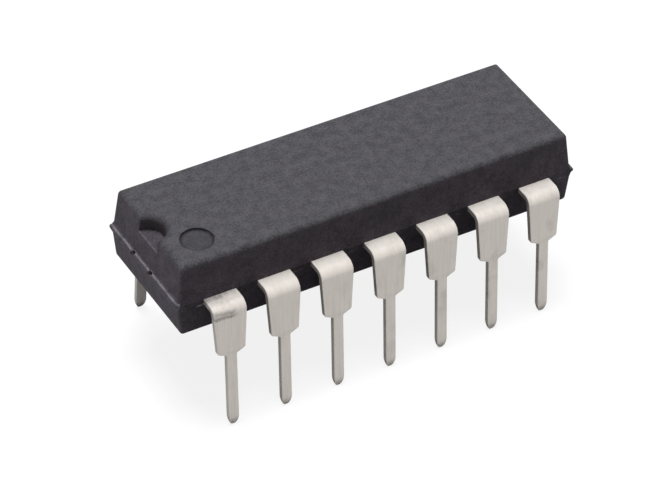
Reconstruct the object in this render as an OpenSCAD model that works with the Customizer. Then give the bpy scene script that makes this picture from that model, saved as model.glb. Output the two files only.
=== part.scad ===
// Fourteen lead dual in-line integrated circuit: a moulded body round a stamped lead frame, a die and its wires.
// The row of leads 1 to 7 is at -Y and leads 8 to 14 at +Y. The notched end is at -X.
// The lead tips stand on z = 0 and the package is centred on X and Y. Millimetres.

/* [Body] */
// Length of body beyond the centre of the last lead in a row, at the parting plane
end_margin = 1.93; // [1.6:0.05:2.6]
// Width of the body at the parting plane, between the two rows
body_width = 6.12; // [5.9:0.05:6.6]
// Height of the upper half, from the parting plane to the top face
top_height = 1.92; // [1.6:0.05:2.4]
// Depth of the lower half, from the parting plane to the underside
bottom_depth = 1.7; // [1.2:0.05:2.1]
// Set-back of the upper half from the lower one at the parting plane
mould_step = 0.05; // [0.02:0.01:0.1]
// Draft of the two ends of the upper half, in degrees
top_end_draft = 6.5; // [3:0.5:9]
// Draft of the two long sides of the upper half, in degrees
top_side_draft = 5; // [3:0.5:9]
// Draft of the two ends of the lower half, in degrees
bottom_end_draft = 5.5; // [3:0.5:9]
// Draft of the two long sides of the lower half, in degrees
bottom_side_draft = 3; // [2:0.5:9]
// Radius along the edges of the top face and of the underside
edge_radius = 0.25; // [0.1:0.05:0.4]

/* [Moulded marks] */
// Radius of the half-round notch at the lead 1 end, seen from above
notch_radius = 0.8; // [0.5:0.05:1]
// Depth of the notch below the top face
notch_depth = 0.71; // [0.4:0.05:1]
// Distance of the centre of the notch inwards from the end at the parting plane
notch_setback = 0.15; // [0.05:0.05:0.3]
// Radius of the rounded rim of the notch
notch_rim = 0.12; // [0.05:0.01:0.2]
// Radius of the round dimple that marks lead 1
dimple_radius = 0.73; // [0.4:0.01:0.8]
// Depth of the dimple below the top face
dimple_depth = 0.12; // [0.05:0.01:0.3]
// Distance from the notched end to the centre of the dimple
dimple_from_end = 1.68; // [1.55:0.01:2.2]
// Distance from the centre line to the centre of the dimple
dimple_offset = 1.53; // [1.2:0.01:1.6]
// Radius of the bead of flash along the parting line of each end
bead_radius = 0.2; // [0.12:0.01:0.3]
// Height of that bead proud of the end
bead_proud = 0.12; // [0.05:0.01:0.2]

/* [Leads] */
// Distance between neighbouring leads of a row
lead_pitch = 2.54; // [2.3:0.01:2.8]
// Thickness of the lead frame metal
lead_thickness = 0.25; // [0.2:0.01:0.3]
// Width over the outer faces of the two rows, where the legs leave the bends
shoulder_span = 7.92; // [7.6:0.01:8.5]
// Inner radius of the bend
bend_radius = 0.2; // [0.1:0.01:0.3]
// Outward lean of the legs, in degrees
leg_splay = 3.8; // [0:0.1:8]
// Width of a lead at the body and round its bend
shoulder_width = 1.54; // [1.2:0.01:1.8]
// Width of the shoulder at its foot
foot_width = 1.27; // [1:0.01:1.5]
// Height from the lead tips to where the shoulders end in the narrow legs
seat_height = 3.75; // [3:0.05:4]
// Rise of the sloping foot of a shoulder, from the leg to its outer corner
foot_rise = 0.19; // [0:0.01:0.4]
// Height from the lead tips to the underside of the body
standing_height = 4.57; // [4.4:0.01:5.2]
// Width of the narrow leg
leg_width = 0.48; // [0.36:0.01:0.56]
// Width of the flat tip of a leg
tip_width = 0.26; // [0.15:0.01:0.35]
// Length of the taper at the tip
tip_length = 0.32; // [0.2:0.01:0.6]

/* [Lead frame inside] */
// Length of the die pad
pad_length = 5.2; // [4:0.1:5.6]
// Width of the die pad
pad_width = 3; // [2.8:0.1:3.2]
// Width of the inner fingers
finger_width = 0.36; // [0.25:0.01:0.4]
// Clearance between the fingers and the die pad
finger_gap = 0.22; // [0.15:0.01:0.3]
// Distance between neighbouring finger tips along the die pad
finger_pitch = 1.6; // [1.3:0.05:1.65]
// Depth of the full-width anchor of each lead inside the body
anchor_depth = 0.6; // [0.4:0.05:0.65]
// Set-back of the outermost fingers from the side of the die pad
end_finger_setback = 0.1; // [0:0.01:0.15]
// Width of the four tie bars that held the die pad
tie_bar_width = 0.28; // [0.2:0.01:0.35]
// Distance from the centre line to the tie bars on the lead 14 side
back_tie_bar = 0.9; // [0.7:0.05:0.95]
// Distance from the centre line to the tie bars on the lead 1 side
front_tie_bar = 0.6; // [0.4:0.05:0.9]

/* [Die and wires] */
// Length of the silicon die
die_length = 2.1; // [2:0.1:3]
// Width of the silicon die
die_width = 1.5; // [1.2:0.1:2]
// Thickness of the silicon die
die_thickness = 0.3; // [0.2:0.01:0.4]
// Thickness of the adhesive under the die
attach_thickness = 0.03; // [0.02:0.01:0.06]
// Width of adhesive that shows round the die
attach_fillet = 0.12; // [0.05:0.01:0.2]
// Distance between neighbouring bond pads along the die
bond_pitch = 0.28; // [0.2:0.01:0.3]
// Distance of the bond pads from the edge of the die
bond_inset = 0.12; // [0.08:0.01:0.2]
// Diameter of the gold bond wire
wire_diameter = 0.033; // [0.025:0.001:0.05]
// Height of the wire's neck over the middle of its ball
neck_height = 0.2; // [0.15:0.01:0.3]
// Diameter of the wire's knee over its neck
knee_diameter = 0.04; // [0.036:0.001:0.06]
// Diameter of the ball and of the stitch that end a wire
bond_diameter = 0.1; // [0.08:0.01:0.12]
// Height of the ball and of the stitch
bond_height = 0.04; // [0.035:0.001:0.06]

/* [Hidden] */
$fn = 48;
row_leads = 7;
middle = (row_leads - 1) / 2;

// Overlap of a cutting shape past the face that it cuts
cut = 0.5;
parting_z = standing_height + bottom_depth;
frame_z = parting_z - lead_thickness;
half_length = middle * lead_pitch + end_margin;
half_width = body_width / 2;
top_z = parting_z + top_height;
attach_z = parting_z;
die_z = attach_z + attach_thickness;
bond_z = die_z + die_thickness;

// The bend's centre, out from the centre plane and up, and its outer radius
outer_radius = bend_radius + lead_thickness;
bend_z = parting_z - outer_radius;
bend_out = shoulder_span / 2 - outer_radius * (cos(leg_splay) - (1 - sin(leg_splay)) * tan(leg_splay));

// The finger tips, out from the centre plane
finger_out = pad_width / 2 + finger_gap + finger_width / 2;
end_finger_out = pad_width / 2 - end_finger_setback;
end_finger_tip = pad_length / 2 + finger_gap + finger_width / 2;
anchor_out = half_width - anchor_depth;

mould_colour = [0.24, 0.23, 0.24];
tin_colour = [0.74, 0.72, 0.69];
copper_colour = [0.72, 0.45, 0.32];
adhesive_colour = [0.85, 0.85, 0.82];
silicon_colour = [0.35, 0.38, 0.45];
gold_colour = [0.95, 0.78, 0.3];

// Which lead of its row, counted from the middle of the row towards +X
function place(n) = (n <= row_leads ? n - 1 : 2 * row_leads - n) - middle;
// -1 for the row at -Y and 1 for the row at +Y
function side(n) = n <= row_leads ? -1 : 1;
// Plan point of a finger's tip, of the row at +Y
function finger_tip(k) = abs(k) < middle
    ? [k * finger_pitch, finger_out]
    : [sign(k) * end_finger_tip, end_finger_out];
// Plan point of a bond pad on the die, of the row at +Y
function bond_pad(k) = [k * bond_pitch, die_width / 2 - bond_inset];

// What is cut off the right-hand upper corner of a drafted outline to leave it round
module corner_rest(half, height, draft) {
    inset = edge_radius * (1 - sin(draft)) / cos(draft);
    centre = [half - height * tan(draft) - inset, height - edge_radius];
    reach = edge_radius + cut;
    difference() {
        polygon([centre, centre + [0, reach], centre + [reach, reach], centre + [reach, reach * tan(draft)]]);
        translate(centre)
            circle(edge_radius);
    }
}

// Upright outline of one mould half: straight drafted sides, and round edges at its far face
module drafted_outline(half, height, draft) {
    far = half - height * tan(draft);
    difference() {
        polygon([[-half, 0], [half, 0], [far, height], [-far, height]]);
        corner_rest(half, height, draft);
        mirror([1, 0])
            corner_rest(half, height, draft);
    }
}

// One mould half standing on z = 0: its end outline and its side outline, each carried through the other
module mould_half(length_half, width_half, height, end_draft, side_draft) {
    intersection() {
        rotate([90, 0, 0])
            linear_extrude(2 * width_half + 2 * cut, center = true)
                drafted_outline(length_half, height, end_draft);
        rotate([90, 0, 90])
            linear_extrude(2 * length_half + 2 * cut, center = true)
                drafted_outline(width_half, height, side_draft);
    }
}

// Bead of flash along the parting line of the end at +X, open where the tie bars come out
module end_bead() {
    reach = half_width - bead_radius;
    difference() {
        translate([half_length + bead_proud - bead_radius, 0, parting_z]) {
            rotate([90, 0, 0])
                cylinder(h = 2 * reach, r = bead_radius, center = true);
            for (s = [-1, 1])
                translate([0, s * reach, 0])
                    sphere(bead_radius);
        }
        for (y = [-front_tie_bar, back_tie_bar])
            translate([half_length, y - tie_bar_width / 2, frame_z])
                cube([cut, tie_bar_width, lead_thickness + cut]);
    }
}

// Half-round notch with a rounded rim, as the shape that it removes
module notch_space() {
    wide = notch_radius + notch_rim;
    translate([-half_length + notch_setback, 0, top_z - notch_depth])
        rotate_extrude()
            difference() {
                union() {
                    square([notch_radius, notch_depth]);
                    translate([0, notch_depth - notch_rim])
                        square([wide, notch_rim + cut]);
                }
                translate([wide, notch_depth - notch_rim])
                    circle(notch_rim);
            }
}

// Shallow dimple by lead 1, as the shape that it removes
module dimple_space() {
    translate([-half_length + dimple_from_end, -dimple_offset, top_z - dimple_depth])
        cylinder(h = dimple_depth + cut, r = dimple_radius);
}

module body() {
    color(mould_colour)
        difference() {
            union() {
                translate([0, 0, parting_z])
                    mould_half(half_length - mould_step, half_width - mould_step,
                        top_height, top_end_draft, top_side_draft);
                translate([0, 0, parting_z])
                    mirror([0, 0, 1])
                        mould_half(half_length, half_width, bottom_depth, bottom_end_draft, bottom_side_draft);
                end_bead();
                mirror([1, 0, 0])
                    end_bead();
            }
            notch_space();
            dimple_space();
            die_pad();
            die_attach();
            die();
            for (n = [1 : 2 * row_leads]) {
                lead(n);
                bond_wire(n);
            }
        }
}

// Straight strip with round ends between two plan points
module strip(a, b) {
    run = b - a;
    translate(a)
        rotate(atan2(run[1], run[0]))
            translate([0, -finger_width / 2])
                square([norm(run), finger_width]);
    for (p = [a, b])
        translate(p)
            circle(finger_width / 2);
}

// Inner fingers of a lead of the row at +Y, seen from above
module finger_plan(k) {
    root = [k * lead_pitch, anchor_out];
    corner = [k * lead_pitch, end_finger_out];
    if (abs(k) < middle) {
        strip(root, finger_tip(k));
    } else {
        strip(root, corner);
        strip(corner, finger_tip(k));
    }
}

// Region under the flat run, round the bend and behind the leg, for one face of the metal:
// its radius at the bend, how far back it reaches, and how far below the tips
module bend_region(radius, back, below) {
    top = [bend_out, bend_z + radius];
    turned = [bend_out, bend_z] + radius * [cos(leg_splay), sin(leg_splay)];
    polygon([[back, top[1]], top, turned, [turned[0] + (turned[1] + below) * tan(leg_splay), -below], [back, -below]]);
    translate([bend_out, bend_z])
        circle(radius);
}

// Section of the anchor, the bend and the leg, across the row at +Y, with the tip cut level at z = 0
module lead_section() {
    difference() {
        bend_region(outer_radius, anchor_out, 0);
        bend_region(bend_radius, anchor_out - cut, cut);
    }
}

// Outline of a lead outside the body, seen along Y: shoulder, sloping foot, narrow leg and tapered tip
module lead_outline() {
    right = [
        [shoulder_width / 2, parting_z + cut],
        [shoulder_width / 2, bend_z],
        [foot_width / 2, seat_height + foot_rise],
        [leg_width / 2, seat_height],
        [leg_width / 2, tip_length],
        [tip_width / 2, 0]];
    left = [for (i = [len(right) - 1 : -1 : 0]) [-right[i][0], right[i][1]]];
    polygon(concat(right, left));
}

// A whole lead of the row at +Y, stamped and bent from one strip
module lead_form(k) {
    translate([0, 0, frame_z])
        linear_extrude(lead_thickness)
            finger_plan(k);
    translate([k * lead_pitch, 0, 0])
        intersection() {
            rotate([90, 0, 90])
                linear_extrude(shoulder_width + cut, center = true)
                    lead_section();
            translate([0, shoulder_span, 0])
                rotate([90, 0, 0])
                    linear_extrude(shoulder_span)
                        lead_outline();
        }
}

module lead(n) {
    color(tin_colour)
        mirror([0, side(n) < 0 ? 1 : 0, 0])
            lead_form(place(n));
}

// Die pad with two tie bars to each end of the body
module die_pad() {
    color(copper_colour)
        translate([0, 0, frame_z])
            linear_extrude(lead_thickness) {
                square([pad_length, pad_width], center = true);
                for (y = [-front_tie_bar, back_tie_bar])
                    translate([0, y])
                        square([2 * half_length, tie_bar_width], center = true);
            }
}

module die_attach() {
    color(adhesive_colour)
        translate([0, 0, attach_z])
            linear_extrude(attach_thickness)
                square([die_length + 2 * attach_fillet, die_width + 2 * attach_fillet], center = true);
}

module die() {
    color(silicon_colour)
        translate([0, 0, die_z])
            linear_extrude(die_thickness)
                square([die_length, die_width], center = true);
}

// Wire of the row at +Y: a ball on the die, an upright neck, a round knee, a straight slope, and a stitch on the finger
module wire_form(k) {
    start = bond_pad(k);
    finish = finger_tip(k);
    run = finish - start;
    fall = bond_z + neck_height - parting_z;
    for (p = [[start, bond_z], [finish, parting_z]])
        translate([p[0][0], p[0][1], p[1]])
            cylinder(h = bond_height, d = bond_diameter);
    translate([start[0], start[1], bond_z + bond_height / 2]) {
        cylinder(h = neck_height, d = wire_diameter);
        translate([0, 0, neck_height]) {
            sphere(d = knee_diameter);
            rotate([0, 90 + atan2(fall, norm(run)), atan2(run[1], run[0])])
                cylinder(h = norm([run[0], run[1], fall]), d = wire_diameter);
        }
    }
}

module bond_wire(n) {
    color(gold_colour)
        mirror([0, side(n) < 0 ? 1 : 0, 0])
            wire_form(place(n));
}

body();
die_pad();
die_attach();
die();
for (n = [1 : 2 * row_leads]) {
    lead(n);
    bond_wire(n);
}
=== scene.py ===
"""Looks of a fourteen lead dual in-line integrated circuit: moulded body, tinned leads, and the stage."""

import bmesh
import bpy
import numpy as np
from bpy.props import FloatProperty, FloatVectorProperty, PointerProperty
from mathutils import Matrix, Vector


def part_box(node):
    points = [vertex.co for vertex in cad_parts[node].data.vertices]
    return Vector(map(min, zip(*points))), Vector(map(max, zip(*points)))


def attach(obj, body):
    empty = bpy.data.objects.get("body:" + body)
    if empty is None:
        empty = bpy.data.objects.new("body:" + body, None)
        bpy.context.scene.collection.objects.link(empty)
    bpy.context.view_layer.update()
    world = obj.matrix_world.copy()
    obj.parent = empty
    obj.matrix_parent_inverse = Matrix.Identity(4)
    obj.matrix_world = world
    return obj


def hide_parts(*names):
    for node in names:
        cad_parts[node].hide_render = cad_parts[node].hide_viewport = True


bl_info = {
    "name": "Dual in-line chip",
    "version": (1, 0, 0),
    "blender": (4, 5, 0),
    "location": "View3D > Sidebar > Chip",
    "description": "Dresses a moulded integrated circuit with formed leads on its packed model",
    "category": "Object",
}

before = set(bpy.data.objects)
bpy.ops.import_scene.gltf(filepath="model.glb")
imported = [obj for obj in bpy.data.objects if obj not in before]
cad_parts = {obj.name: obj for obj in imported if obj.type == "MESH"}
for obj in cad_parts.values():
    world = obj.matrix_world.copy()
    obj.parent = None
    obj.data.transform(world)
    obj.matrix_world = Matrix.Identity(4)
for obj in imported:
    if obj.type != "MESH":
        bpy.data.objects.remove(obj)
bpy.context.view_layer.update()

MM = 0.001
ROW_LEADS = 7
MIDDLE = (ROW_LEADS - 1) / 2
BODY_LOW, BODY_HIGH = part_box("body")
PAD_LOW, PAD_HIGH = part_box("die_pad")

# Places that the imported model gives
PARTING_Z = PAD_HIGH[2]
FRAME_Z = PAD_LOW[2]
HALF_LENGTH = PAD_HIGH[0]
HALF_WIDTH = BODY_HIGH[1]

# Points nearer than this are welded, in metres
WELD = 1e-8
# Edges that turn by more than this stay sharp, in degrees
SHARP_ANGLE = 35
BODY_SHARP_ANGLE = 38
# Steps of a ring of the body along an end, along a side and round a corner
RING_STEPS = (150, 260, 10)
# Pitch of the unevenness of the flash, per millimetre, and its random seeds, at the ends and along the sides
END_WAVES, SIDE_WAVES = 2.1, 1.9
END_SEED, SIDE_SEED = 3, 8
# Steps round the notch and the dimple, and how far their cutters stand over the top face
ROUND_STEPS = 128
CUTTER_REACH = 0.3 * MM
# The stage, in metres
LAMP_DISTANCE = 0.2
FLOOR_RADIUS = 3.0


def millimetres(name, description, value):
    """A length property in metres whose default is given in millimetres."""
    return FloatProperty(name=name, description=description, default=value * MM, min=0, precision=6,
                         unit="LENGTH", subtype="DISTANCE")


def place(name, description, value):
    """A place along the body in metres, of either sign, whose default is given in millimetres."""
    return FloatProperty(name=name, description=description, default=value * MM, precision=6,
                         unit="LENGTH", subtype="DISTANCE")


def factor(name, description, value):
    """A plain number that is never negative."""
    return FloatProperty(name=name, description=description, default=value, min=0)


def degrees(name, description, value):
    """An angle property whose default is given in degrees."""
    return FloatProperty(name=name, description=description, default=float(np.radians(value)),
                         unit="ROTATION", subtype="ANGLE")


def colour(name, description, value):
    """A colour property, linear red, green and blue."""
    return FloatVectorProperty(name=name, description=description, default=value, size=3, min=0, max=1,
                               subtype="COLOR")


class ChipBodySettings(bpy.types.PropertyGroup):
    mould_step: millimetres("Mould step", "Set-back of the upper half at the parting line", 0.05)
    top_end_draft: degrees("Top end draft", "Lean of the ends of the upper half", 6.5)
    top_side_draft: degrees("Top side draft", "Lean of the long sides of the upper half", 3.7)
    bottom_end_draft: degrees("Bottom end draft", "Lean of the ends of the lower half", 5.5)
    bottom_side_draft: degrees("Bottom side draft", "Lean of the long sides of the lower half", 3)
    edge_radius: millimetres("Edge radius", "Rounding along the top and bottom edges", 0.25)
    corner_radius: millimetres("Corner radius", "Rounding of the four upright corners", 0.15)
    bead_reach: millimetres("Bead reach", "How far the flash along each end spreads down its wall", 0.24)
    bead_rise: millimetres("Bead rise", "How far its upper flank climbs over its crest", 0.25)
    bead_proud: millimetres("Bead height", "How far the crest of that flash stands proud", 0.12)
    bead_drop: millimetres("Bead drop", "Set-down of the crest under the parting plane", 0.03)
    bead_uneven: factor("Bead unevenness", "Share of its height that it varies by", 0.16)
    side_flash: millimetres("Side flash", "Thin flash along the long sides, level with the leads", 0.012)
    side_flash_spread: millimetres("Side flash spread", "Half height of that thin flash", 0.025)
    tongue_place: place("Tongue place", "Place along the body of the flash's widest tongue", -8.56)
    tongue_spread: millimetres("Tongue spread", "Half width of that tongue", 0.15)
    tongue_height: factor("Tongue height", "How far it stands out, in heights of the thin flash", 3)
    side_blend: millimetres("Side blend", "Height in which the long sides take up the mould step", 0.45)
    tie_bar_width: millimetres("Tie bar width", "Width of the cut tie bars in each end", 0.28)
    back_tie_bar: millimetres("Back tie bar", "Place of the tie bar on the lead 14 side", 0.9)
    front_tie_bar: millimetres("Front tie bar", "Place of the tie bar on the lead 1 side", 0.6)
    notch_radius: millimetres("Notch radius", "Radius of the half-round notch", 0.8)
    notch_depth: millimetres("Notch depth", "Depth of the notch below the top face", 0.71)
    notch_setback: millimetres("Notch set-back", "Centre of the notch inwards from the end", 0.15)
    notch_rim: millimetres("Notch rim", "Rounding of the rim of the notch", 0.22)
    dimple_radius: millimetres("Dimple radius", "Radius of the dimple by lead 1", 0.73)
    dimple_depth: millimetres("Dimple depth", "Depth of the dimple at its rim", 0.13)
    dimple_rise: millimetres("Dimple rise", "Rise of its floor within the groove along its rim", 0.05)
    dimple_from_end: millimetres("Dimple from end", "Distance from the notched end to the dimple", 1.68)
    dimple_offset: millimetres("Dimple offset", "Distance from the centre line to the dimple", 1.53)
    epoxy: colour("Epoxy", "Colour of the moulding compound", (0.0735, 0.0722, 0.0755))
    # Painted shade: the walls take a darker, warmer copy of the epoxy, standing in for the shade on them
    shaded_wall_epoxy: colour("Epoxy walls", "Warmer colour of its drafted walls", (0.0672, 0.0570, 0.0660))


class ChipLeadSettings(bpy.types.PropertyGroup):
    pitch: millimetres("Pitch", "Distance between neighbouring leads", 2.54)
    shoulder_span: millimetres("Shoulder span", "Width over the two rows at the bends", 7.92)
    bend_radius: millimetres("Bend radius", "Inner radius of the bend", 0.2)
    leg_splay: degrees("Leg splay", "Outward lean of the legs", 3.8)
    shoulder_width: millimetres("Shoulder width", "Width of a lead at the body and the bend", 1.54)
    foot_width: millimetres("Foot width", "Width of the shoulder at its foot", 1.3)
    seat_height: millimetres("Seat height", "Height of the foot of the shoulder over the tips", 3.75)
    foot_rise: millimetres("Foot rise", "Rise of the sloping foot to its outer corner", 0.19)
    leg_width: millimetres("Leg width", "Width of the narrow leg", 0.48)
    tip_width: millimetres("Tip width", "Width of the tip", 0.12)
    tip_length: millimetres("Tip length", "Length of the taper at the tip", 0.5)
    foot_round: millimetres("Foot round", "Rounding of the outer corner of the foot", 0.055)
    heel_round: millimetres("Heel round", "Rounding of the corner where the leg leaves the foot", 0.07)
    edge_radius: millimetres("Edge radius", "Rounding of the sheared edges on the outer face", 0.045)
    burr_radius: millimetres("Burr radius", "Rounding of the sheared edges on the inner face", 0.012)
    anchor_depth: millimetres("Anchor depth", "Depth of the full-width anchor in the body", 0.6)
    finger_width: millimetres("Finger width", "Width of the inner fingers", 0.36)
    # Lead 1 has a smear in its upper band and painted shade in its lower band
    smear_and_shade_place: place("Smear place", "Middle of the smear on lead 1, along the body", -7.92)
    smear_upper: millimetres("Upper smear", "Height of the upper band of the smear on lead 1", 5.98)
    shade_band_height: millimetres("Lower smear", "Height of the lower band of the smear on lead 1", 5.79)
    tin: colour("Tin", "Colour of the tin plating", (0.685, 0.661, 0.612))
    # Also the colour of the painted shade on the sheared edges and inner faces of the leads
    tarnish_and_shade: colour("Tarnish", "Colour of the duller patches and sheared edges", (0.2, 0.185, 0.165))


class ChipInsideSettings(bpy.types.PropertyGroup):
    copper: colour("Copper", "Colour of the die pad", (0.62, 0.33, 0.2))
    adhesive: colour("Adhesive", "Colour of the silver-filled adhesive", (0.6, 0.6, 0.57))
    silicon: colour("Silicon", "Colour of the die", (0.12, 0.13, 0.17))
    gold: colour("Gold", "Colour of the bond wires", (0.95, 0.68, 0.25))


class ChipStageSettings(bpy.types.PropertyGroup):
    azimuth: degrees("Azimuth", "Camera's bearing round the chip", -30.58)
    elevation: degrees("Elevation", "Camera's height above the horizon", 40.015)
    roll: degrees("Roll", "Camera's turn about its own axis", 1.454)
    distance: millimetres("Distance", "Camera's distance from the point it looks at", 166.6)
    lens: FloatProperty(name="Lens", description="Focal length on a 36 mm sensor", default=210.32, min=1)
    aim_x: place("Aim X", "Point looked at, along the body", -0.469)
    aim_z: millimetres("Aim height", "Point looked at, above the tips", 4.049)
    floor: colour("Floor", "Colour of the floor", (0.8, 0.8, 0.8))
    glow: factor("Floor glow", "Share of the floor's white that no shadow darkens", 0.86)
    ambient: factor("Ambient", "Strength of the even light", 0.1)
    key: factor("Key", "Strength of the soft light from above", 3.25)
    key_angle: degrees("Key angle", "Width of that light, which softens the shadows", 26)
    key_bearing: degrees("Key bearing", "Its bearing round the chip", -160)
    key_height: degrees("Key height", "Its height above the horizon", 84.5)
    key_tint: colour("Key tint", "Colour of the soft light from above", (0.94, 0.922, 1.0))


def smooth_step(value, low, high):
    """0 below low and 1 above high, with the cubic 3t^2 - 2t^3 between them."""
    t = np.clip((value - low) / (high - low), 0, 1)
    return t * t * (3 - 2 * t)


def ripple(t, seed):
    """Repeatable uneven value between about -1 and 1: a sum of sines of rising pitch and falling height."""
    random = np.random.default_rng(seed)
    total = np.zeros_like(t)
    for i in range(6):
        pitch = 1.7 ** i * random.uniform(0.8, 1.2)
        total += np.sin(t * pitch + random.uniform(0, 2 * np.pi)) / 1.35 ** i
    return total / 2.2


def grid_faces(rows, columns, offset=0):
    """Quads of a grid that is closed round its columns: a vertex, its neighbour and the two in the next
    row."""
    r, c = np.meshgrid(np.arange(rows - 1), np.arange(columns), indexing="ij")
    after = (c + 1) % columns
    corners = (r * columns + c, r * columns + after, (r + 1) * columns + after, (r + 1) * columns + c)
    return np.stack(corners, -1).reshape(-1, 4) + offset


def make_mesh(name, parts, attributes=None, flat_ends=False):
    """Mesh object from grids of points, each rows by columns by 3 and closed round its columns. The first
    and last rows are poles that get welded shut, or with flat_ends are each closed with one flat face."""
    vertices = np.concatenate([p.reshape(-1, 3) for p in parts])
    starts = np.cumsum([0] + [p.shape[0] * p.shape[1] for p in parts[:-1]])
    faces = np.concatenate([grid_faces(p.shape[0], p.shape[1], s) for p, s in zip(parts, starts)]).tolist()
    if flat_ends:
        columns, total = parts[0].shape[1], len(vertices)
        faces += [list(range(columns)), list(range(total - columns, total))]
    mesh = bpy.data.meshes.new(name)
    mesh.from_pydata(vertices, [], faces)
    for key, values in (attributes or {}).items():
        layer = mesh.attributes.new(key, "FLOAT", "POINT")
        layer.data.foreach_set("value", np.concatenate([v.reshape(-1) for v in values]).astype(np.float32))
    tidy = bmesh.new()
    tidy.from_mesh(mesh)
    bmesh.ops.remove_doubles(tidy, verts=tidy.verts, dist=WELD)
    bmesh.ops.dissolve_degenerate(tidy, edges=tidy.edges, dist=WELD)
    bmesh.ops.recalc_face_normals(tidy, faces=tidy.faces)
    tidy.to_mesh(mesh)
    tidy.free()
    mesh.shade_smooth()
    mesh.set_sharp_from_angle(angle=float(np.radians(SHARP_ANGLE)))
    piece = bpy.data.objects.new(name, mesh)
    bpy.context.scene.collection.objects.link(piece)
    return piece


def turned(profile, centre, steps):
    """Surface of revolution: each (radius, height) of the profile is carried round an upright axis."""
    angle = np.linspace(0, 2 * np.pi, steps, endpoint=False)
    radius, height = np.asarray(profile, float).T
    x = centre[0] + radius[:, None] * np.cos(angle)
    y = centre[1] + radius[:, None] * np.sin(angle)
    z = np.repeat((centre[2] + height)[:, None], steps, 1)
    return np.stack([x, y, z], -1)


def arc(centre, radius, start, end, steps):
    """Points on a circle from one angle to another, in degrees, as (across, up) pairs."""
    a = np.radians(np.linspace(start, end, steps))
    return [(centre[0] + radius * c, centre[1] + radius * s) for c, s in zip(np.cos(a), np.sin(a))]


def ring_directions(end_steps, side_steps, corner_steps):
    """Once round a rounded rectangle, anticlockwise from the corner at +X and -Y. For each point: its share
    of the core rectangle's half sides, and its outward direction. Ends and sides are straight runs, and
    corners are quarter turns."""
    share, out = [], []
    for turn, count in ((0, end_steps), (90, side_steps), (180, end_steps), (270, side_steps)):
        run = np.linspace(-1, 1, count, endpoint=False)
        axis = np.array([np.cos(np.radians(turn)), np.sin(np.radians(turn))]).round()
        along = np.array([-axis[1], axis[0]])
        for t in run:
            share.append(axis + along * t)
            out.append(axis)
        for a in np.radians(turn + np.linspace(0, 90, corner_steps, endpoint=False)):
            share.append(axis + along)
            out.append([np.cos(a), np.sin(a)])
    return np.array(share), np.array(out)


def wall_extent(base, height, rise, draft, radius):
    """Half size of one mould half at each rise above the parting plane: a straight drafted wall, then a
    round edge that meets both the wall and the flat face at a tangent."""
    inset = radius * (1 - np.sin(draft)) / np.cos(draft)
    centre = base - height * np.tan(draft) - inset
    up = rise - (height - radius)
    wall = base - rise * np.tan(draft)
    rounded = centre + np.sqrt(np.clip(radius ** 2 - up ** 2, 0, None))
    return np.where(up < radius * np.sin(draft), wall, rounded)


def body_rows(s):
    """Rises of the rings over the parting plane, from just inside the edge of the underside to just inside
    the edge of the top face, as (rise, half length, half width, corner radius). The rings lie closest at
    the parting line and round the edges, where the corner tightens to a quarter of its radius."""
    top = BODY_HIGH[2] - PARTING_Z
    deep = PARTING_Z - BODY_LOW[2]
    upper_base = np.array([HALF_LENGTH, HALF_WIDTH]) - s.mould_step
    lower_base = np.array([HALF_LENGTH, HALF_WIDTH])
    last_inset = 0.03 * MM
    near = np.array([0, 0.006, 0.015, 0.03]) * MM
    bead = np.linspace(0.045 * MM, s.bead_rise, 13)
    edge = s.edge_radius * (1 - np.sin(np.radians(np.linspace(0, 90, 11))))

    def rises(height):
        straight = np.linspace(s.bead_rise, height - s.edge_radius, 10)[1:-1]
        return np.unique(np.concatenate([near, bead, straight, height - edge]).round(9))

    def half(base, height, drafts):
        rise = rises(height)
        size = [wall_extent(b, height, rise, d, s.edge_radius) for b, d in zip(base, drafts)]
        rounding = np.clip((rise - height + s.edge_radius) / s.edge_radius, 0, 1)
        corner = s.corner_radius * (1 - 0.75 * rounding ** 2)
        rows = np.stack([rise, size[0], size[1], corner], 1)
        return np.concatenate([rows, rows[-1:] - [0, last_inset, last_inset, 0]])

    upper = half(upper_base, top, (s.top_end_draft, s.top_side_draft))
    lower = half(lower_base, deep, (s.bottom_end_draft, s.bottom_side_draft))
    lower[:, 0] *= -1
    return np.concatenate([lower[::-1], upper])


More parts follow.
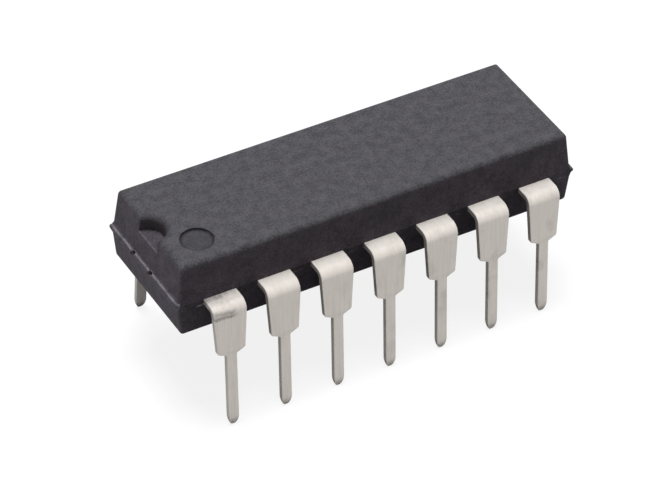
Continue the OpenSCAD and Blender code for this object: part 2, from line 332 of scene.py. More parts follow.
def body_surface(s):
    """Moulded outside. Each ring is a rounded rectangle: core corner plus corner radius times the outward
    direction. At the ends it moves out to an uneven ridge that is open where the tie bars come out. The
    ridge's upper flank is straight, and its lower flank is hollow as the square of the distance from its
    foot. Along the sides the ring moves out by a fading square over the mould step, and by a narrow bell
    curve for thin flash level with the leads' lower faces, which varies in width and is widest at one
    tongue near lead 1."""
    share, out = ring_directions(*RING_STEPS)
    rise, length, width, corner = body_rows(s).T[..., None]
    x = share[:, 0] * (length - corner) + corner * out[:, 0]
    y = share[:, 1] * (width - corner) + corner * out[:, 1]
    over_crest = rise + s.bead_drop
    flush_rise = 0.6 * s.bead_rise
    upper = s.bead_proud * (1 - over_crest / flush_rise)
    lower = s.bead_proud * np.clip(1 + over_crest / s.bead_reach, 0, 1) ** 2
    ridge = HALF_LENGTH + np.where(over_crest > 0, upper, lower)
    bead = np.clip(ridge - length, 0, None) * (over_crest > -s.bead_reach)
    at_end = smooth_step(np.abs(out[:, 0]), 0.15, 0.8)
    away = np.ones_like(x)
    for bar in (-s.front_tie_bar, s.back_tie_bar):
        away = away * smooth_step(np.abs(y - bar), s.tie_bar_width * 0.34, s.tie_bar_width * 0.5)
    uneven = 1 + s.bead_uneven * ripple(y / MM * END_WAVES + np.sign(x) * 3, END_SEED)
    blend = s.mould_step * np.clip(1 - rise / s.side_blend, 0, 1) ** 2 * (rise > 0)
    patchy = np.clip(0.45 + 0.75 * ripple(x / MM * SIDE_WAVES + np.sign(y) * 5, SIDE_SEED), 0.05, 1.4)
    tongue = s.tongue_height * np.exp(-((x - s.tongue_place) / s.tongue_spread) ** 2)
    bell = np.exp(-((rise + PARTING_Z - FRAME_Z) / s.side_flash_spread) ** 2)
    side = blend + bell * s.side_flash * (patchy + tongue)
    push = bead * at_end * away * uneven + side * (1 - at_end)
    x = x + push * out[:, 0]
    y = y + push * out[:, 1]
    return np.stack([x, y, np.repeat(rise + PARTING_Z, x.shape[1], 1)], -1)


def notch_surface(s):
    """Cutter for the notch, turned from its floor to a rim that flares out to the top face on a quarter
    circle."""
    wide = s.notch_radius + s.notch_rim
    floor_round = 0.05 * MM
    profile = [(0, 0)]
    profile += arc((s.notch_radius - floor_round, floor_round), floor_round, 270, 360, 5)
    profile += arc((wide, s.notch_depth - s.notch_rim), s.notch_rim, 180, 90, 9)
    profile += [(wide, s.notch_depth + CUTTER_REACH), (0, s.notch_depth + CUTTER_REACH)]
    centre = (-HALF_LENGTH + s.notch_setback, 0, BODY_HIGH[2] - s.notch_depth)
    return turned(profile, centre, ROUND_STEPS)


def dimple_surface(s):
    """Cutter for the dimple, turned from a flat floor through a groove and a small fillet to a rim just
    broken at the top face."""
    fillet, rim = 0.025 * MM, 0.03 * MM
    inner = s.dimple_radius - 0.13 * MM
    profile = [(0, s.dimple_rise), (inner * 0.8, s.dimple_rise), (inner, s.dimple_rise * 0.85)]
    profile += [(inner + 0.04 * MM, s.dimple_rise * 0.45), (inner + 0.07 * MM, 0.005 * MM)]
    profile += arc((s.dimple_radius - fillet, fillet), fillet, 270, 360, 5)
    profile += arc((s.dimple_radius + rim, s.dimple_depth - rim), rim, 180, 90, 4)
    over_top = s.dimple_depth + CUTTER_REACH
    profile += [(s.dimple_radius + rim, over_top), (0, over_top)]
    centre = (-HALF_LENGTH + s.dimple_from_end, -s.dimple_offset, BODY_HIGH[2] - s.dimple_depth)
    return turned(profile, centre, ROUND_STEPS)


def cut_away(piece, cutters):
    """Takes each cutter's solid out of the piece for good, and removes the cutters."""
    for cutter in cutters:
        step = piece.modifiers.new("cut", "BOOLEAN")
        step.operation, step.solver, step.object = "DIFFERENCE", "EXACT", cutter
    evaluated = piece.evaluated_get(bpy.context.evaluated_depsgraph_get())
    mesh = bpy.data.meshes.new_from_object(evaluated)
    piece.modifiers.clear()
    piece.data = mesh
    for cutter in cutters:
        bpy.data.objects.remove(cutter)


def break_notch_edges(piece, s):
    """Rounds the mouth of the notch, where its floor and wall meet the end of the body."""
    edit = bmesh.new()
    edit.from_mesh(piece.data)
    reach = s.notch_radius + s.notch_rim * 0.5
    low = BODY_HIGH[2] - s.notch_depth - 0.02 * MM

    def at_mouth(edge):
        ends = [v.co for v in edge.verts]
        inside = all(abs(p.y) < reach and p.z > low and p.x < -HALF_LENGTH + 0.45 * MM for p in ends)
        return inside and len(edge.link_faces) == 2 and edge.calc_face_angle(0) > np.radians(40)

    sharp = [e for e in edit.edges if at_mouth(e)]
    bmesh.ops.bevel(edit, geom=sharp, offset=0.05 * MM, segments=3, profile=0.5, affect="EDGES",
                    clamp_overlap=True)
    edit.to_mesh(piece.data)
    edit.free()


def rounded_section(corner_steps):
    """Once round a unit section: the signs of the corner that each point belongs to, and its direction from
    that corner's centre."""
    signs, directions = [], []
    for sw, st, start in ((1, 1, 0), (-1, 1, 90), (-1, -1, 180), (1, -1, 270)):
        for a in np.radians(start + np.linspace(0, 90, corner_steps)):
            signs.append((sw, st))
            directions.append((np.cos(a), np.sin(a)))
    return np.array(signs, float), np.array(directions)


def lead_stations(s):
    """Cross-sections along a lead outside the body, of the row at +Y: (outer point, inner point, half
    width), each point as (out, up). A level run, then a circular bend about one centre, then a straight leg
    that leans out by the splay."""
    thickness = PARTING_Z - FRAME_Z
    outer_radius = s.bend_radius + thickness
    cos, sin, tan = np.cos(s.leg_splay), np.sin(s.leg_splay), np.tan(s.leg_splay)
    bend_z = PARTING_Z - outer_radius
    bend_out = s.shoulder_span / 2 - outer_radius * (cos - (1 - sin) * tan)
    half = s.shoulder_width / 2
    rows = []
    for out in np.linspace(HALF_WIDTH - s.anchor_depth, bend_out, 5, endpoint=False):
        rows.append(((out, PARTING_Z), (out, FRAME_Z), half))
    for a in np.linspace(np.pi / 2, s.leg_splay, 25):
        c, d = np.cos(a), np.sin(a)
        rows.append(((bend_out + outer_radius * c, bend_z + outer_radius * d),
                     (bend_out + s.bend_radius * c, bend_z + s.bend_radius * d), half))
    outer_top = rows[-1][0]
    across = thickness / cos
    for width, z in leg_outline(s, bend_z):
        out = outer_top[0] + (outer_top[1] - z) * tan
        rows.append(((out, z), (out - across, z), width))
    return rows


def leg_outline(s, top):
    """Half width of the leg against height, from the bend to the tip: a straight taper, a sloping foot with
    round corners, the narrow leg, and a tip that narrows as 1 less a power of the way down, itself to a
    power."""
    foot = np.array([s.foot_width / 2, s.seat_height + s.foot_rise])
    heel = np.array([s.leg_width / 2, s.seat_height])
    shoulder = np.array([s.shoulder_width / 2, top])
    tip_top = np.array([s.leg_width / 2, s.tip_length])
    points = [shoulder + (foot - shoulder) * t for t in np.linspace(0.06, 0.9, 10)]
    points += corner_curve(shoulder, foot, heel, s.foot_round, 7)
    points += corner_curve(foot, heel, tip_top, s.heel_round, 7)
    points += [heel + (tip_top - heel) * t for t in np.linspace(0.1, 0.95, 9)]
    for down in np.sin(np.radians(np.linspace(0, 90, 15))):
        left = (1 - down ** 1.8) ** 0.55
        width = s.tip_width + (s.leg_width - s.tip_width) * left
        points.append(np.array([width / 2, s.tip_length * (1 - down)]))
    return [(float(p[0]), float(p[1])) for p in points]


def corner_curve(before, corner, after, reach, steps):
    """Rounds one corner of an outline with the parabola that is tangent to both its lines, reach away from
    it."""
    a = corner + (before - corner) / np.linalg.norm(before - corner) * reach
    b = corner + (after - corner) / np.linalg.norm(after - corner) * reach
    t = np.linspace(0, 1, steps)[:, None]
    return list(a * (1 - t) ** 2 + corner * 2 * t * (1 - t) + b * t ** 2)


def lead_surface(s, k, side):
    """Lead k of a row: each station carries a rounded rectangle, thickness along its own inner to outer
    line and width along X. Returns the points and how dark each is painted: most on the sheared edges,
    partly for their dull sheared metal and partly as painted shade, less there on the leads next to the
    notched end, and painted shade on the inner face, which faces the shadow under the body."""
    stations = lead_stations(s)
    outer = np.array([r[0] for r in stations])
    inner = np.array([r[1] for r in stations])
    half_width = np.array([r[2] for r in stations])[:, None]
    depth = np.linalg.norm(outer - inner, axis=1)[:, None]
    through = (outer - inner) / depth
    middle = (outer + inner) / 2
    signs, directions = rounded_section(6)
    radius = np.where(signs[:, 1] > 0, s.edge_radius, s.burr_radius)
    end = np.clip(1 - middle[:, 1:] / s.tip_length, 0, 1)
    wide = signs[:, 0] * (half_width - radius) + radius * directions[:, 0]
    thick = (signs[:, 1] * (depth / 2 - radius) + radius * directions[:, 1]) * (1 - 0.85 * end ** 2)
    out = middle[:, :1] + through[:, :1] * thick
    up = middle[:, 1:] + through[:, 1:] * thick
    points = np.stack([k * s.pitch + wide, side * out, up], -1)
    points[..., 2] = np.maximum(points[..., 2], 0)
    caps = [np.repeat(points[i].mean(0)[None, None], points.shape[1], 1) for i in (0, -1)]
    # Painted shade on the sheared edges on top of their own dullness: less on the end leads by the notch,
    # more on the shoulders than the legs
    shoulder = smooth_step(up, s.seat_height, s.seat_height + 0.6 * MM)
    edge_dullness_and_shade = 0.3 if k == -MIDDLE else 0.55 + 0.3 * shoulder
    sheared = smooth_step(np.abs(directions[:, 0]), 0.75, 1) * edge_dullness_and_shade
    # The inner face gets painted shade, as it faces the shadow under the body
    dull_and_shade = np.maximum(sheared, (signs[:, 1] < 0) * 0.4) * np.ones_like(wide)
    grid = np.concatenate([caps[0], points, caps[1]])
    return grid, np.concatenate([dull_and_shade[:1], dull_and_shade, dull_and_shade[-1:]])


def strip_slab(a, b, width, side):
    """Flat inner finger between two plan points: a stadium outline carried from the frame's lower face to
    its upper one."""
    a, b = np.array(a), np.array(b)
    heading = np.degrees(np.arctan2(b[1] - a[1], b[0] - a[0]))
    end_steps = 10
    far_end = arc(b, width / 2, heading - 90, heading + 90, end_steps)
    near_end = arc(a, width / 2, heading + 90, heading + 270, end_steps)
    outline = np.array(far_end + near_end)
    centre = np.repeat(outline.mean(0)[None], len(outline), 0)
    rows = []
    for plan, z in ((centre, FRAME_Z), (outline, FRAME_Z), (outline, PARTING_Z), (centre, PARTING_Z)):
        rows.append(np.column_stack([plan[:, 0], side * plan[:, 1], np.full(len(plan), z)]))
    return np.stack(rows)


def finger_runs(s, k, number):
    """Plan points of a lead's inner finger, of the row at +Y, from its anchor to the tip that its wire
    reaches: straight there, or square round a corner on the end leads."""
    near = np.abs(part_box(f"lead_{number}")).min(0) + s.finger_width / 2
    root = (k * s.pitch, HALF_WIDTH - s.anchor_depth)
    tip = (np.sign(k) * near[0], near[1])
    if abs(k) < MIDDLE:
        return [(root, tip)]
    corner = (k * s.pitch, near[1])
    return [(root, corner), (corner, tip)]


class NodeTree:
    """Shorthand for building one material's nodes."""

    def __init__(self, name):
        self.material = bpy.data.materials.new(name)
        self.material.use_nodes = True
        self.nodes = self.material.node_tree.nodes
        self.links = self.material.node_tree.links
        self.shader = self.nodes["Principled BSDF"]
        self.place = self.nodes.new("ShaderNodeTexCoord").outputs["Object"]

    def add(self, kind, inputs=None, **settings):
        node = self.nodes.new(kind)
        for key, value in settings.items():
            setattr(node, key, value)
        for key, value in (inputs or {}).items():
            if isinstance(value, bpy.types.NodeSocket):
                self.links.new(value, node.inputs[key])
            else:
                node.inputs[key].default_value = value
        return node

    def axes(self):
        """The three Object coordinates."""
        return self.add("ShaderNodeSeparateXYZ", {"Vector": self.place}).outputs

    def scaled(self, scale):
        """Object coordinates times a scale given per millimetre."""
        inputs = {"Vector": self.place, "Scale": [c / MM for c in scale]}
        return self.add("ShaderNodeMapping", inputs).outputs[0]

    def noise(self, scale, detail=3.0, roughness=0.5):
        inputs = {"Vector": self.scaled(scale), "Scale": 1.0, "Detail": detail, "Roughness": roughness}
        return self.add("ShaderNodeTexNoise", inputs).outputs["Fac"]

    def math(self, operation, a, b=0.0):
        return self.add("ShaderNodeMath", {0: a, 1: b}, operation=operation).outputs[0]

    def chain(self, operation, first, *others):
        """Takes each value in turn into the result so far."""
        for value in others:
            first = self.math(operation, first, value)
        return first

    def plus(self, *values):
        return self.chain("ADD", *values)

    def times(self, *values):
        return self.chain("MULTIPLY", *values)

    def size(self, value):
        """The value without its sign."""
        return self.math("ABSOLUTE", value)

    def ramp(self, value, low, high, to_low=0.0, to_high=1.0):
        """A smooth step from one output at the low value to another at the high one."""
        inputs = {"Value": value, "From Min": low, "From Max": high, "To Min": to_low, "To Max": to_high}
        return self.add("ShaderNodeMapRange", inputs, interpolation_type="SMOOTHSTEP").outputs[0]

    def band(self, value, middle, full, gone, peak=1.0):
        """The peak while the value is within full of the middle, falling smoothly to 0 where it is gone
        away."""
        return self.ramp(self.size(self.math("SUBTRACT", value, middle)), full, gone, peak, 0.0)

    def mix(self, factor, a, b):
        node = self.nodes.new("ShaderNodeMix")
        node.data_type = "RGBA"
        for socket, value in ((node.inputs[0], factor), (node.inputs[6], a), (node.inputs[7], b)):
            if isinstance(value, bpy.types.NodeSocket):
                self.links.new(value, socket)
            else:
                socket.default_value = value
        return node.outputs[2]

    def bump(self, height, distance, strength=1.0, normal=None):
        inputs = {"Height": height, "Distance": distance, "Strength": strength}
        if normal is not None:
            inputs["Normal"] = normal
        return self.add("ShaderNodeBump", inputs).outputs[0]

    def drive(self, socket, value):
        self.links.new(value, self.shader.inputs[socket])


def shade(rgb, factor=1.0):
    """A colour times a factor, with full alpha."""
    return (*[min(1.0, c * factor) for c in rgb], 1.0)


def epoxy_material(s):
    """Matt moulding compound: spark-eroded mould grain, a mottle of filler with pale specks, and painted
    shade on the drafted walls, which take a darker, warmer copy of the top face's colour. It is darker in
    the dimple, and has painted shade in the groove round its floor and by the rim of the notch. It has a
    painted highlight along the crest of the flash of the ends and at the mouth of the notch, and is pale
    in places along the thin flash of the long sides."""
    t = NodeTree("moulded_epoxy")
    mottle = t.noise((2.2, 2.2, 2.2), detail=4, roughness=0.62)
    grain = t.noise((11, 11, 11), detail=3, roughness=0.6)
    fine = t.noise((34, 34, 34), detail=2, roughness=0.5)
    x, y, z = t.axes()
    flat = t.add("ShaderNodeCombineXYZ", {"X": x, "Y": y}).outputs[0]
    top = BODY_HIGH[2]
    notch_floor = top - s.notch_depth
    # Shares of the plain colour
    darkest, lightest, speck, highlight_and_flash_pale = 0.58, 1.42, 2.6, 3.25
    dimmed_share, groove_shade_share = 0.4, 0.2

    def off(plan_x, plan_y):
        """Distance from a point, seen from above."""
        inputs = {0: flat, 1: (plan_x, plan_y, 0)}
        return t.add("ShaderNodeVectorMath", inputs, operation="DISTANCE").outputs["Value"]

    # Mottle, on the top face and on the walls, which get painted shade: a darker, warmer copy of the epoxy
    tone = t.plus(t.times(mottle, 0.4), t.times(grain, 0.6))
    on_top = t.ramp(z, top - 0.3 * MM, top - 0.04 * MM)
    dark, light = (t.mix(on_top, shade(s.shaded_wall_epoxy, f), shade(s.epoxy, f)) for f in (darkest, lightest))
    plain = t.mix(t.ramp(tone, 0.36, 0.64), dark, light)
    speckled = t.mix(t.times(t.ramp(fine, 0.66, 0.74), 0.6), plain, shade(s.epoxy, speck))

    # Darker in the dimple, and painted shade in the groove round its floor and by the notch
    off_dimple = off(-HALF_LENGTH + s.dimple_from_end, -s.dimple_offset)
    in_dimple = t.times(t.ramp(off_dimple, s.dimple_radius, s.dimple_radius * 0.9),
                        t.ramp(z, top - 0.3 * MM, top - 0.2 * MM, 0.0, 0.42))
    dimmed = t.mix(in_dimple, speckled, shade(s.epoxy, dimmed_share))
    # Painted shade in the groove round the dimple's floor
    groove_shade = t.times(t.band(off_dimple, s.dimple_radius - 0.05 * MM, 0.02 * MM, 0.07 * MM, 0.6),
                     t.ramp(z, top - 0.035 * MM, top - 0.06 * MM))
    dimmed = t.mix(groove_shade, dimmed, shade(s.epoxy, groove_shade_share))
    # Painted shade on the notch's wall and the top face round its rim
    off_notch = off(-HALF_LENGTH + s.notch_setback, 0)
    notch_rim_shade = t.times(t.ramp(off_notch, s.notch_radius + 0.3 * MM, s.notch_radius + 0.05 * MM, 0.0, 0.5),
                     t.ramp(z, notch_floor + 0.03 * MM, notch_floor + 0.1 * MM))
    dimmed = t.mix(notch_rim_shade, dimmed, shade(s.shaded_wall_epoxy, dimmed_share))

    # Painted highlights along the crest of each end and the mouth of the notch, and a pale thread along each
    # side
    # Painted highlight: the crest of the flash at each end
    crest_z = PARTING_Z + 0.1 * MM
    crest = t.times(t.band(z, crest_z, 0.02 * MM, 0.055 * MM),
                    t.ramp(t.size(x), HALF_LENGTH - 0.09 * MM, HALF_LENGTH - 0.07 * MM))
    # Painted highlight: the mouth of the notch
    mouth = t.times(t.band(z, notch_floor, 0.035 * MM, 0.06 * MM),
                    t.ramp(x, -HALF_LENGTH + 0.24 * MM, -HALF_LENGTH + 0.2 * MM),
                    t.ramp(t.size(y), s.notch_radius, s.notch_radius * 0.95, 0.0, 0.36))
    tongue = t.band(x, s.tongue_place, 0.1 * MM, 0.24 * MM, 0.9)
    patches = t.math("MAXIMUM", tongue, t.ramp(mottle, 0.5, 0.6, 0.0, 0.55))
    thread = t.times(t.band(z, FRAME_Z, 0.02 * MM, 0.06 * MM), patches,
                     t.ramp(t.size(y), HALF_WIDTH - 0.05 * MM, HALF_WIDTH - 0.03 * MM))
    pale = t.chain("MAXIMUM", crest, mouth, thread)
    # The highlights and the pale thread vary with the grain and the mottle
    highlights_and_pale_flash = t.times(pale, t.ramp(grain, 0.3, 0.55, 0.45, 1.0), t.ramp(mottle, 0.38, 0.54, 0.62, 1.05))
    t.drive("Base Color", t.mix(highlights_and_pale_flash, dimmed, shade(s.epoxy, highlight_and_flash_pale)))

    t.drive("Roughness", t.ramp(grain, 0.3, 0.7, 0.56, 0.72))
    rough = t.bump(grain, 0.03 * MM, 0.8)
    t.drive("Normal", t.bump(fine, 0.012 * MM, 0.7, rough))
    t.shader.inputs["Specular IOR Level"].default_value = 0.16
    return t.material


def tin_material(s):
    """Satin tin over stamped copper alloy: rolling streaks along the leg, cloudy tarnish that is thinner on
    the leads towards the notched end, duller tips, and how dull each point of the mesh is, with painted
    shade on the sheared edges and the inner faces. Lead 1 also has a dark smear under its bend with a band
    of painted shade below it, dull specks on its run, and patches next to the body."""
    t = NodeTree("tinned_lead")
    streak = t.noise((9, 2.5, 0.55), detail=4, roughness=0.6)
    cloud = t.noise((1.1, 1.1, 0.8), detail=3, roughness=0.55)
    fine = t.noise((26, 26, 12), detail=2, roughness=0.5)
    # How dull each point is, together with the painted shade on the sheared edges and inner faces
    sheared = t.add("ShaderNodeAttribute", attribute_name="dull_and_shade").outputs["Fac"]
    x, y, z = t.axes()

    clean_to, cloudy_from = -2 * MM, -1 * MM
    clouded = t.times(t.ramp(cloud, 0.5, 0.8), t.ramp(x, clean_to, cloudy_from, 0.06, 0.22))
    streaked = t.times(t.ramp(streak, 0.35, 0.85), 0.07)
    tips = t.times(t.ramp(z, 0.45 * MM, 0.1 * MM), t.ramp(fine, 0.35, 0.6, 0.15, 0.6))

    # Lead 1: distance out from the front of the body, and from its edge nearest to lead 2 back along the row
    out = t.math("SUBTRACT", -HALF_WIDTH, y)
    back = t.math("SUBTRACT", -MIDDLE * s.pitch + s.shoulder_width / 2, x)

    # Its smear, and under it a band of painted shade, whose heights waver with the cloud and the streaks
    wavering = t.plus(z, t.times(t.math("SUBTRACT", cloud, 0.5), 0.25 * MM),
                      t.times(t.math("SUBTRACT", streak, 0.5), 0.2 * MM))
    bands = t.math("MAXIMUM", t.band(wavering, s.smear_upper, 0.0, 0.17 * MM, 0.75),
                   t.band(wavering, s.shade_band_height, 0.0, 0.15 * MM, 0.95))
    smear_and_shade_band = t.times(bands, t.ramp(fine, 0.36, 0.58, 0.65, 1.0), t.band(x, s.smear_and_shade_place, 0.3 * MM, 0.75 * MM),
                    t.ramp(out, 0.34 * MM, 0.64 * MM), 0.66)

    # Its run, with dull specks all over and patches by the body
    on_run = t.times(t.ramp(back, -0.05 * MM, 0.15 * MM), t.ramp(out, 0.69 * MM, 0.49 * MM),
                     t.ramp(out, -1.06 * MM, -0.56 * MM))
    specks = t.times(on_run, t.ramp(fine, 0.35, 0.65, 0.02, 0.28))
    by_body = t.times(t.ramp(out, 0.36 * MM, 0.14 * MM), t.ramp(back, 0.35 * MM, 0.65 * MM))
    patches = t.times(on_run, by_body, t.ramp(cloud, 0.42, 0.54), 0.4)

    dull_and_shade = t.plus(sheared, clouded, streaked, tips, smear_and_shade_band, specks, patches)
    t.drive("Base Color", t.mix(t.math("MINIMUM", dull_and_shade, 1.0), shade(s.tin), shade(s.tarnish_and_shade)))
    t.shader.inputs["Metallic"].default_value = 1.0
    t.drive("Roughness", t.ramp(t.plus(t.times(streak, 0.5), t.times(fine, 0.5)), 0.3, 0.7, 0.86, 0.94))
    rolled = t.bump(streak, 0.003 * MM, 0.3)
    t.drive("Normal", t.bump(fine, 0.003 * MM, 0.5, rolled))
    return t.material


def metal_material(name, rgb, roughness):
    """Plain worked metal: a streaked tone and roughness, gone dark where it shows in the ends of the body,
    partly as oxide on the cut ends and partly as painted shade of the gaps in the flash that they sit in."""
    t = NodeTree(name)
    streak = t.noise((14, 3, 14), detail=3)
    # Oxide and painted shade at the cut ends in the ends of the body
    cut_end_oxide_and_shade = t.ramp(t.size(t.axes()[0]), HALF_LENGTH - 0.3 * MM, HALF_LENGTH - 0.1 * MM)
    fresh = t.mix(t.ramp(streak, 0.35, 0.65), shade(rgb, 0.82), shade(rgb, 1.08))
    t.drive("Base Color", t.mix(cut_end_oxide_and_shade, fresh, shade(rgb, 0.13)))
    t.shader.inputs["Metallic"].default_value = 1.0
    t.drive("Roughness", t.ramp(streak, 0.3, 0.7, roughness - 0.07, roughness + 0.07))
    return t.material


def adhesive_material(s):
    """Silver-filled adhesive: pale paste with bright flakes."""
    t = NodeTree("die_adhesive")
    flake = t.noise((22, 22, 22), detail=2)
    t.drive("Base Color", t.mix(t.ramp(flake, 0.4, 0.6), shade(s.adhesive, 0.75), shade(s.adhesive, 1.2)))
    t.drive("Roughness", t.ramp(flake, 0.3, 0.7, 0.35, 0.6))
    t.shader.inputs["Metallic"].default_value = 0.4
    return t.material


def silicon_material(s):
    """Polished silicon with a grid of faint circuit blocks on it."""
    t = NodeTree("silicon")
    cells = {"Vector": t.scaled((9, 9, 9)), "Scale": 1.0}
    blocks = t.add("ShaderNodeTexVoronoi", cells, distance="CHEBYCHEV").outputs["Color"]
    tone = t.add("ShaderNodeSeparateColor", {"Color": blocks}).outputs[0]
    t.drive("Base Color", t.mix(tone, shade(s.silicon, 0.7), shade(s.silicon, 1.6)))
    t.drive("Roughness", t.ramp(tone, 0, 1, 0.12, 0.3))
    t.shader.inputs["Metallic"].default_value = 0.6
    return t.material


def set_material(piece, material):
    piece.data.materials.clear()
    piece.data.materials.append(material)


class CHIP_OT_body(bpy.types.Operator):
    """Make the moulded body with its notch, dimple and flash"""
    bl_idname = "chip.body"
    bl_label = "Moulded body"

    def execute(self, context):
        s = context.scene.chip_body
        piece = make_mesh("moulded_body", [body_surface(s)], flat_ends=True)
        notch = make_mesh("notch_cutter", [notch_surface(s)])
        dimple = make_mesh("dimple_cutter", [dimple_surface(s)])
        cut_away(piece, [notch, dimple])
        break_notch_edges(piece, s)
        piece.data.shade_smooth()
        piece.data.set_sharp_from_angle(angle=float(np.radians(BODY_SHARP_ANGLE)))
        smoothing = piece.modifiers.new("flat faces stay flat", "WEIGHTED_NORMAL")
        smoothing.keep_sharp = True
        set_material(piece, epoxy_material(s))
        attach(piece, "root")
        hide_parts("body")
        return {"FINISHED"}


class CHIP_OT_leads(bpy.types.Operator):
    """Make the formed leads of both rows"""
    bl_idname = "chip.leads"
    bl_label = "Formed leads"

    def execute(self, context):
        s = context.scene.chip_leads
        material = tin_material(s)
        for number in range(1, 2 * ROW_LEADS + 1):
            front = number <= ROW_LEADS
            k = (number - 1 if front else 2 * ROW_LEADS - number) - MIDDLE
            side = -1 if front else 1
            outside, dull_and_shade_points = lead_surface(s, k, side)
            parts = [outside]
            dull_and_shade = [dull_and_shade_points]
            for a, b in finger_runs(s, k, number):
                slab = strip_slab(a, b, s.finger_width, side)
                parts.append(slab)
                dull_and_shade.append(np.zeros(slab.shape[:2]))
            piece = make_mesh(f"formed_lead_{number}", parts, {"dull_and_shade": dull_and_shade})
            set_material(piece, material)
            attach(piece, "root")
            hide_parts(f"lead_{number}")
        return {"FINISHED"}


class CHIP_OT_inside(bpy.types.Operator):
    """Finish the die pad, the adhesive, the die and the bond wires"""
    bl_idname = "chip.inside"
    bl_label = "Die, pad and wires"

    def execute(self, context):
        s = context.scene.chip_inside
        copper = metal_material("pad_copper", s.copper, 0.42)
        gold = metal_material("bond_gold", s.gold, 0.25)
        set_material(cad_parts["die_pad"], copper)
        set_material(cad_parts["die_attach"], adhesive_material(s))
        set_material(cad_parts["die"], silicon_material(s))
        for number in range(1, 2 * ROW_LEADS + 1):
            set_material(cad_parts[f"bond_wire_{number}"], gold)
        return {"FINISHED"}


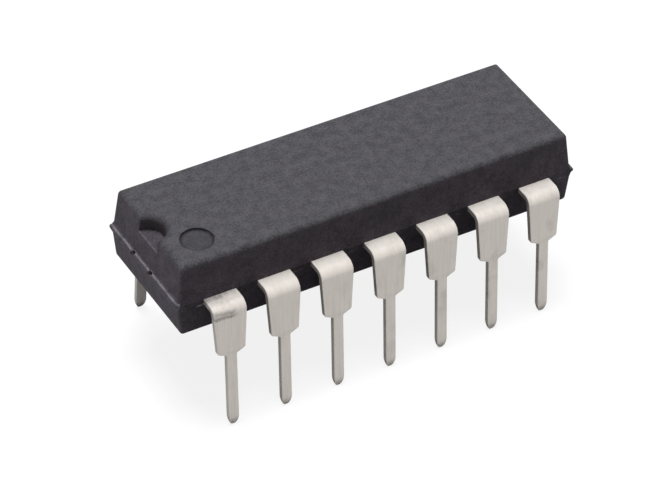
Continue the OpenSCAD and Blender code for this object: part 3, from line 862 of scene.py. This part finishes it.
class CHIP_OT_stage(bpy.types.Operator):
    """Make the camera, the soft studio light, the floor and the pale surroundings"""
    bl_idname = "chip.stage"
    bl_label = "Stage"

    def execute(self, context):
        s = context.scene.chip_stage
        self.camera(context, s)
        self.light(context, s)
        self.floor(context, s)
        self.surroundings(context, s)
        context.scene.view_settings.view_transform = "Standard"
        return {"FINISHED"}

    def camera(self, context, s):
        az, el, roll = s.azimuth, s.elevation, s.roll
        back = Vector((np.sin(az) * np.cos(el), -np.cos(az) * np.cos(el), np.sin(el)))
        level = Vector((np.cos(az), np.sin(az), 0))
        upright = back.cross(level)
        right = level * np.cos(roll) + upright * np.sin(roll)
        up = upright * np.cos(roll) - level * np.sin(roll)
        data = bpy.data.cameras.new("camera")
        data.lens = s.lens
        data.sensor_width = 36
        data.clip_start = 10 * MM
        camera = bpy.data.objects.new("camera", data)
        turn = Matrix((right, up, back)).transposed().to_4x4()
        camera.matrix_world = Matrix.Translation(Vector((s.aim_x, 0, s.aim_z)) + back * s.distance) @ turn
        context.scene.collection.objects.link(camera)
        context.scene.camera = camera

    def light(self, context, s):
        """One broad sun, high up and a little behind the chip."""
        data = bpy.data.lights.new("key_light", "SUN")
        data.energy = s.key
        data.angle = s.key_angle
        data.color = s.key_tint
        a, e = s.key_bearing, s.key_height
        away = Vector((np.sin(a) * np.cos(e), -np.cos(a) * np.cos(e), np.sin(e)))
        lamp = bpy.data.objects.new("key_light", data)
        lamp.rotation_mode = "QUATERNION"
        lamp.rotation_quaternion = away.to_track_quat("Z", "Y")
        lamp.location = away * LAMP_DISTANCE
        context.scene.collection.objects.link(lamp)

    def floor(self, context, s):
        """A round floor: white with a faint shadow to the camera, dark under the chip to the light that it
        bounces up, and clear from below."""
        angle = np.linspace(0, 2 * np.pi, 96, endpoint=False)
        ring = np.stack([np.cos(angle), np.sin(angle), np.zeros_like(angle)], -1)
        floor = make_mesh("floor", [np.stack([ring * 0, ring * FLOOR_RADIUS])])
        for polygon in floor.data.polygons:
            if polygon.normal.z < 0:
                polygon.flip()
        t = NodeTree("floor")
        path = t.add("ShaderNodeLightPath").outputs
        camera = path["Is Camera Ray"]
        seen = t.chain("MAXIMUM", camera, path["Is Glossy Ray"], path["Is Transmission Ray"])
        beside = t.ramp(t.size(t.axes()[0]), 8 * MM, 16 * MM)
        bounce = t.mix(beside, shade(s.floor, 0.05), shade(s.floor, 0.95))
        t.drive("Base Color", t.mix(camera, t.mix(seen, bounce, shade(s.floor, 0.9)), shade(s.floor, 0.23)))
        t.drive("Emission Strength", t.times(camera, s.glow))
        t.shader.inputs["Emission Color"].default_value = (1, 1, 1, 1)
        t.shader.inputs["Roughness"].default_value = 0.9
        t.shader.inputs["Specular IOR Level"].default_value = 0.0
        from_below = t.add("ShaderNodeNewGeometry").outputs["Backfacing"]
        clear = t.add("ShaderNodeBsdfTransparent").outputs[0]
        surface = t.add("ShaderNodeMixShader", {0: from_below, 1: t.shader.outputs[0], 2: clear}).outputs[0]
        t.links.new(surface, t.nodes["Material Output"].inputs["Surface"])
        set_material(floor, t.material)

    def surroundings(self, context, s):
        """White to camera, glossy and transmission rays, and an even weak light otherwise."""
        world = bpy.data.worlds.new("surroundings")
        world.use_nodes = True
        nodes, links = world.node_tree.nodes, world.node_tree.links
        path = nodes.new("ShaderNodeLightPath").outputs
        seen = path["Is Camera Ray"]
        for ray in ("Is Glossy Ray", "Is Transmission Ray"):
            either = nodes.new("ShaderNodeMath")
            either.operation = "MAXIMUM"
            links.new(seen, either.inputs[0])
            links.new(path[ray], either.inputs[1])
            seen = either.outputs[0]
        strength = nodes.new("ShaderNodeMapRange")
        strength.inputs["To Min"].default_value = s.ambient
        strength.inputs["To Max"].default_value = 1.0
        links.new(seen, strength.inputs["Value"])
        background = nodes["Background"]
        background.inputs["Color"].default_value = (1, 1, 1, 1)
        links.new(strength.outputs[0], background.inputs["Strength"])
        context.scene.world = world


class CHIP_PT_sidebar(bpy.types.Panel):
    """Lists the chip's pieces and their sizes"""
    bl_idname = "CHIP_PT_sidebar"
    bl_label = "Chip"
    bl_space_type = "VIEW_3D"
    bl_region_type = "UI"
    bl_category = "Chip"

    def draw(self, context):
        for operator, group in OPERATORS:
            box = self.layout.box()
            box.operator(operator.bl_idname)
            settings = getattr(context.scene, group)
            for name in settings.bl_rna.properties.keys():
                if name not in ("rna_type", "name"):
                    box.prop(settings, name)


OPERATORS = (
    (CHIP_OT_stage, "chip_stage"),
    (CHIP_OT_body, "chip_body"),
    (CHIP_OT_leads, "chip_leads"),
    (CHIP_OT_inside, "chip_inside"),
)
SETTINGS = {
    "chip_body": ChipBodySettings,
    "chip_leads": ChipLeadSettings,
    "chip_inside": ChipInsideSettings,
    "chip_stage": ChipStageSettings,
}


def register():
    for group, kind in SETTINGS.items():
        bpy.utils.register_class(kind)
        setattr(bpy.types.Scene, group, PointerProperty(type=kind))
    for operator, _ in OPERATORS:
        bpy.utils.register_class(operator)
    bpy.utils.register_class(CHIP_PT_sidebar)


def unregister():
    bpy.utils.unregister_class(CHIP_PT_sidebar)
    for operator, _ in reversed(OPERATORS):
        bpy.utils.unregister_class(operator)
    for group, kind in SETTINGS.items():
        delattr(bpy.types.Scene, group)
        bpy.utils.unregister_class(kind)


def main():
    register()
    bpy.ops.chip.stage()
    bpy.ops.chip.body()
    bpy.ops.chip.leads()
    bpy.ops.chip.inside()


if __name__ == "__main__":
    main()
